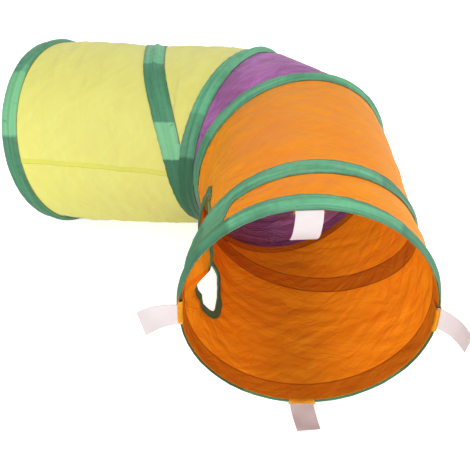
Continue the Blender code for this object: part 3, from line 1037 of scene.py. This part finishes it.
class TUNNEL_OT_peephole(bpy.types.Operator):
    """Add the tape folded over the peephole's edge"""

    bl_idname = "tunnel.peephole"
    bl_label = "Peephole Binding"

    def execute(self, context):
        sizes = context.scene.tunnel_sizes
        bulge = 0.0013
        edge_inset = 0.0006
        fold_share = 0.14
        stitch_margin = 0.002
        piece, u, v = grid_sheet("peephole_edging", 240, 24)
        a = u * TURN
        run = (v - 0.5) * 2
        corner = smooth((np.cos(a + PI / 4) - 0.6) / 0.3)
        upper = smooth(np.sin(a) * 4 - 3)
        inner_share = 0.4 + 0.6 * corner
        outer_share = 1 - 0.45 * upper
        leg = sizes.binding_leg * np.where(run < 0, inner_share, outer_share)
        fold = np.clip(run / fold_share, -1, 1)
        q = np.maximum(np.abs(run) - fold_share, 0) / (1 - fold_share) * leg - edge_inset
        q -= bulge * np.cos(fold * PI / 2)
        lift = CLOTH / 2 + bulge * np.sin(fold * PI / 2)
        lift += np.sign(run) * pucker(a, q, 41) * 1.6
        t, m, way = hole_edge(a)
        t = t + way[:, 0] * q / TUNNEL_RADIUS
        m = m + way[:, 1] * q
        off = lift + relief(sizes, front_wall, front_turn, t, m, FRONT_FOLDS_SEED)
        edge_length = TURN * (PEEPHOLE_HALF + PEEPHOLE_HALF_ARC) / 2
        shape_sheet(piece, front_wall.point(t, m, off), u * edge_length, run * (leg + stitch_margin))
        # Painted shade: the binding is darkened all round, most on the far rim's outer leg, which lies in
        # shadow, and least on the near rim's outer leg
        add_value(piece, "tone", -0.65 + 0.5 * np.cos(a) * (run > 0))
        edit(piece, (bpy.ops.mesh.remove_doubles, {"threshold": SEW_REACH}), FACES_OUT)
        thicken(piece, THIN_CLOTH)
        finish_piece(piece, "ribbon_green")
        bpy.ops.object.shade_smooth_by_angle(angle=SMOOTH_EDGE)
        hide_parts("peephole_binding")
        follow_sleeve(piece)
        return {"FINISHED"}


def tab_line(place, sizes, share):
    """Middle line of a tab from its sewn root inside the lip to its tip, and its two side directions."""
    angle, root_way, tip_way, skew = (math.radians(x) for x in TABS[place][:4])
    hinge = HINGES[f"tab_{place}_fold"]
    out = front_mouth.radial(np.array(angle))
    across = front_mouth.up * math.cos(angle) + front_mouth.out * math.sin(angle)
    ahead = front_mouth.normal
    root_length = 0.012
    lip_gap = 0.0008
    sunk = 0.0014
    row_length = sizes.tab_length / (len(TAB_ROWS["flap"]) - 1)
    points = []
    ways = []
    spot = hinge
    for x in share:
        if x < 0:
            points.append(hinge - ahead * (lip_gap - x * root_length) - out * sunk)
            ways.append(ahead)
            continue
        turn = root_way + (tip_way - root_way) * smooth(x)
        way = out * math.cos(turn) + ahead * math.sin(turn) + across * math.tan(skew) * smooth(x * 4)
        way = unit(way)
        points.append(spot)
        ways.append(way)
        spot = spot + way * row_length
    return np.array(points), np.array(ways), across


def add_tab(place, part, sizes):
    """The root or the flap of a tab, which meet on the fold's axis."""
    share = TAB_ROWS[part]
    points, ways, across = tab_line(place, sizes, share)
    piece, u, v = grid_sheet(f"tab_{place}_{part}_ribbon", 16, len(share) - 1)
    row = np.rint(v * (len(share) - 1)).astype(int)
    face = unit(np.cross(ways, across))
    side = unit(np.cross(face, ways))
    level = (share < 0.05)[:, None]
    twist = (math.radians(TABS[place][4]) * smooth(share))[:, None]
    side = np.where(level, across, side * np.cos(twist) + face * np.sin(twist))
    width = (u - 0.5) * sizes.tab_width * (1 - 0.35 * smooth(-share[row] * 6))
    spots = points[row] + side[row] * width[:, None]
    spots += face[row] * (noise_at(spots, 0.02, 50) * 0.0012 * smooth(share[row] * 3))[:, None]
    shape_sheet(piece, spots, width, share[row] * sizes.tab_length)
    thicken(piece, RIBBON)
    finish_piece(piece, "ribbon_white")
    edit(piece, FACES_OUT)
    bpy.ops.object.shade_smooth_by_angle(angle=SMOOTH_EDGE)
    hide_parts(f"tab_{place}_{part}")
    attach(piece, "front_mouth" if part == "root" else f"tab_{place}")


class TUNNEL_OT_tabs(bpy.types.Operator):
    """Add the four white ribbon tabs of the front mouth"""

    bl_idname = "tunnel.tabs"
    bl_label = "Fastening Tabs"

    def execute(self, context):
        sizes = context.scene.tunnel_sizes
        for place in TABS:
            for part in TAB_ROWS:
                add_tab(place, part, sizes)
        return {"FINISHED"}


class TUNNEL_OT_patches(bpy.types.Operator):
    """Add the cloth patches that cover the tabs' roots and wrap round the front lip"""

    bl_idname = "tunnel.patches"
    bl_label = "Tab Patches"

    def execute(self, context):
        sizes = context.scene.tunnel_sizes
        inner_leg = 0.0135
        over_tape = inner_leg - 0.0015
        inner, outer = -0.0018, 0.0030
        floor_gap = 0.0004
        radius = (outer - inner) / 2
        for place, (wrap, shift, outer_leg) in PATCHES.items():
            bend = math.radians(wrap)
            piece, u, v = grid_sheet(f"patch_{place}", 16, 40)
            run = v * (inner_leg + radius * bend + outer_leg)
            turned = np.clip((run - inner_leg) / radius, 0, bend)
            back = np.maximum(run - inner_leg - radius * bend, 0)
            t = math.radians(TABS[place][0] + shift) + (u - 0.5) * sizes.patch_width / TUNNEL_RADIUS
            lip = front_wall.length(t) + TAPE_HALF + floor_gap
            m = lip - np.maximum(inner_leg - run, 0) + radius * np.sin(turned) - back
            off = inner + radius * (1 - np.cos(turned)) + pucker(t, run, 60)
            points = front_wall.point(t, m, off)
            points[:, 2] = np.maximum(points[:, 2], floor_gap)
            shape_sheet(piece, points, t * TUNNEL_RADIUS, m)
            # The inner leg over the tape gets the painted shadow band of a tape lying behind the cloth
            add_value(piece, "tape_way", np.where(run < over_tape, 0.0, 2 * TAPE_HALF))
            add_value(piece, "seam_way", np.full_like(t, SEAM_AWAY))
            turn_outwards(piece, off_axis(front_wall))
            thicken(piece, THIN_CLOTH)
            finish_piece(piece, "crinkle_orange")
            bpy.ops.object.shade_smooth_by_angle(angle=SMOOTH_EDGE)
            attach(piece, "front_mouth")
        return {"FINISHED"}


class TUNNEL_OT_stage(bpy.types.Operator):
    """Add the floor, the soft lamps and the camera"""

    bl_idname = "tunnel.stage"
    bl_label = "Stage"

    def execute(self, context):
        scene = context.scene
        scene.view_settings.view_transform = "Standard"
        add_floor()
        add_world(scene)
        for name, place, size, energy in (
            ("key_lamp", (-0.2, -1.6, 0.8), 1.2, 23.5),
            ("fill_lamp", (1.5, 0.0, 1.0), 1.4, 12.0),
            ("back_lamp", (-0.2, 1.6, 1.5), 1.4, 8.0),
        ):
            add_lamp(name, place, size, energy)
        add_camera(scene)
        return {"FINISHED"}


def add_floor():
    bpy.ops.object.select_all(action="DESELECT")
    bpy.ops.mesh.primitive_plane_add(size=12, location=(0, 0, -0.0002))
    floor = bpy.context.object
    floor.name = "floor"
    material, net, shader = new_material(
        "floor_paper", Base_Color=(0.9, 0.9, 0.9, 1), Roughness=0.9, Emission_Color=WHITE
    )
    net.plug(shader, "Emission Strength", net.math("MULTIPLY", seen_rays(net), 0.6))
    floor.data.materials.append(material)


def seen_rays(net):
    """One for the rays that make up the picture, and nothing for those that only light the scene."""
    path = net.node("ShaderNodeLightPath")
    rays = path.outputs["Is Camera Ray"]
    for other in ("Is Glossy Ray", "Is Transmission Ray"):
        rays = net.math("MAXIMUM", rays, path.outputs[other])
    return rays


def add_world(scene):
    world = bpy.data.worlds.new("studio")
    world.use_nodes = True
    scene.world = world
    net = Net(world.node_tree)
    soft = world.node_tree.nodes["Background"]
    net.plug(soft, "Color", WHITE)
    net.plug(soft, "Strength", 0.47)
    seen = net.node("ShaderNodeBackground", {"Color": WHITE, "Strength": 1.0})
    mixed = net.node("ShaderNodeMixShader", {0: seen_rays(net), 1: soft.outputs[0], 2: seen.outputs[0]})
    net.plug(world.node_tree.nodes["World Output"], 0, mixed.outputs[0])


def add_aimed(name, data, place, aim):
    """Puts a lamp or a camera on the stage, turned towards a spot."""
    made = bpy.data.objects.new(name, data)
    bpy.context.collection.objects.link(made)
    made.location = place
    made.rotation_euler = (Vector(aim) - Vector(place)).to_track_quat("-Z", "Y").to_euler()
    return made


def add_lamp(name, place, size, energy):
    data = bpy.data.lights.new(name, "AREA")
    data.size = size
    data.energy = energy
    add_aimed(name, data, place, (0, 0, 0.1))


def add_camera(scene):
    """The photograph's own view: 36 degrees down, over the front mouth."""
    place = Vector(front_mouth.centre) + Vector((-0.0611, -0.5357, 0.4818))
    aim = Vector(front_mouth.centre) + Vector((-0.0784, 0.2934, -0.1274))
    focal_pixels = 720
    image_pixels = 470
    data = bpy.data.cameras.new("photo_camera")
    data.sensor_width = 36
    data.lens = data.sensor_width * focal_pixels / image_pixels
    scene.camera = add_aimed("photo_camera", data, place, aim)


STEPS = (
    TUNNEL_OT_finishes,
    TUNNEL_OT_arms,
    TUNNEL_OT_bend,
    TUNNEL_OT_casings,
    TUNNEL_OT_peephole,
    TUNNEL_OT_tabs,
    TUNNEL_OT_patches,
    TUNNEL_OT_stage,
)


class TUNNEL_PT_panel(bpy.types.Panel):
    """Lists the tunnel's pieces, sizes and colours"""

    bl_idname = "TUNNEL_PT_panel"
    bl_label = "Cat Tunnel"
    bl_space_type = "VIEW_3D"
    bl_region_type = "UI"
    bl_category = "Cat Tunnel"

    def draw(self, context):
        for step in STEPS:
            self.layout.operator(step.bl_idname)
        for values in (context.scene.tunnel_sizes, context.scene.tunnel_colours):
            box = self.layout.box()
            for name in values.__annotations__:
                box.prop(values, name)


CLASSES = (TunnelSizes, TunnelColours, *STEPS, TUNNEL_PT_panel)


def register():
    for made in CLASSES:
        bpy.utils.register_class(made)
    bpy.types.Scene.tunnel_sizes = PointerProperty(type=TunnelSizes)
    bpy.types.Scene.tunnel_colours = PointerProperty(type=TunnelColours)


def unregister():
    del bpy.types.Scene.tunnel_colours
    del bpy.types.Scene.tunnel_sizes
    for made in reversed(CLASSES):
        bpy.utils.unregister_class(made)


def main():
    register()
    for step in STEPS:
        getattr(bpy.ops.tunnel, step.bl_idname.split(".")[1])()


if __name__ == "__main__":
    main()
